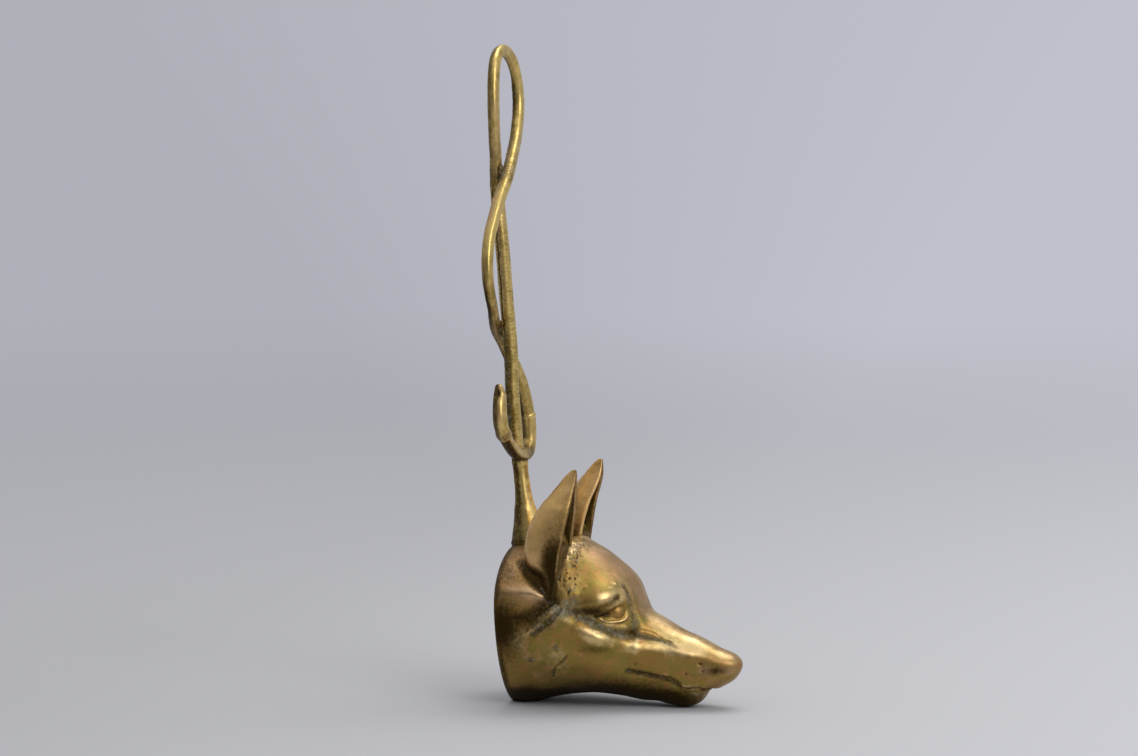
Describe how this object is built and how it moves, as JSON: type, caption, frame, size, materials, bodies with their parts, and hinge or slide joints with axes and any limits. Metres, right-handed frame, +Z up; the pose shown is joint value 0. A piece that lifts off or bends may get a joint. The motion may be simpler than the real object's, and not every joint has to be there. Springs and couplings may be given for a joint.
{
  "type": "doorstop",
  "caption": "Antique cast-brass doorstop: hollow fox's head with upright ears, and a tall hunting-whip handle with a closed hand loop.",
  "frame": {"origin": "centre of the footprint's bounding box, on the floor", "axes": "+X forward to the nose, +Y to the fox's left, +Z up"},
  "size_m": [0.157, 0.0958, 0.3958],
  "materials": {
    "worn_brass": "polished by handling, with a warm brown patina",
    "dull_brass": "dull, with grey-green deposit in the hollows",
    "dark_brass": "dark and unpolished"
  },
  "bodies": {
    "root": {"fox_head": "worn_brass", "right_ear": "worn_brass", "left_ear": "worn_brass", "handle_stem": "dull_brass", "crook": "dull_brass", "crook_butt": "dull_brass", "whip_stock": "worn_brass", "lash": "worn_brass", "tie_stud": "dark_brass", "stud_washer": "dark_brass", "stud_nut": "dark_brass"}
  },
  "joints": []
}
